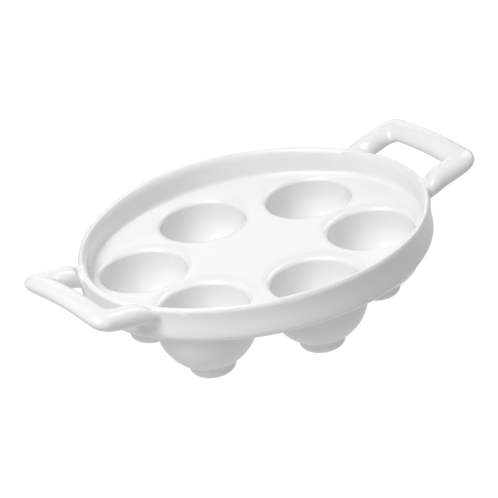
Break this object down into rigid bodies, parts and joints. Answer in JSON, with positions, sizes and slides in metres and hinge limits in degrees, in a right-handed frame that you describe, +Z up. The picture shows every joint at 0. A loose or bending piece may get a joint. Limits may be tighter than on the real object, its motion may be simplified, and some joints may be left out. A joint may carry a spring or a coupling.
{
  "type": "egg holder tray",
  "caption": "Oval glazed porcelain tray with a raised rim, round egg wells that hang below it as footed cups, and a loop handle at each end.",
  "frame": {"origin": "centre of the oval, on the plane the feet stand on", "axes": "+X along the long axis through both handles, +Y across the oval, +Z up"},
  "size_m": [0.245, 0.1744, 0.0618],
  "materials": {
    "glaze": "gloss white glaze"
  },
  "bodies": {
    "root": {"deck": "glaze", "wall_ring": "glaze", "cup_back_left": "glaze", "cup_back_middle": "glaze", "cup_back_right": "glaze", "cup_front_left": "glaze", "cup_front_middle": "glaze", "cup_front_right": "glaze", "foot_back_left": "glaze", "foot_back_middle": "glaze", "foot_back_right": "glaze", "foot_front_left": "glaze", "foot_front_middle": "glaze", "foot_front_right": "glaze", "handle_left": "glaze", "handle_right": "glaze"}
  },
  "joints": []
}
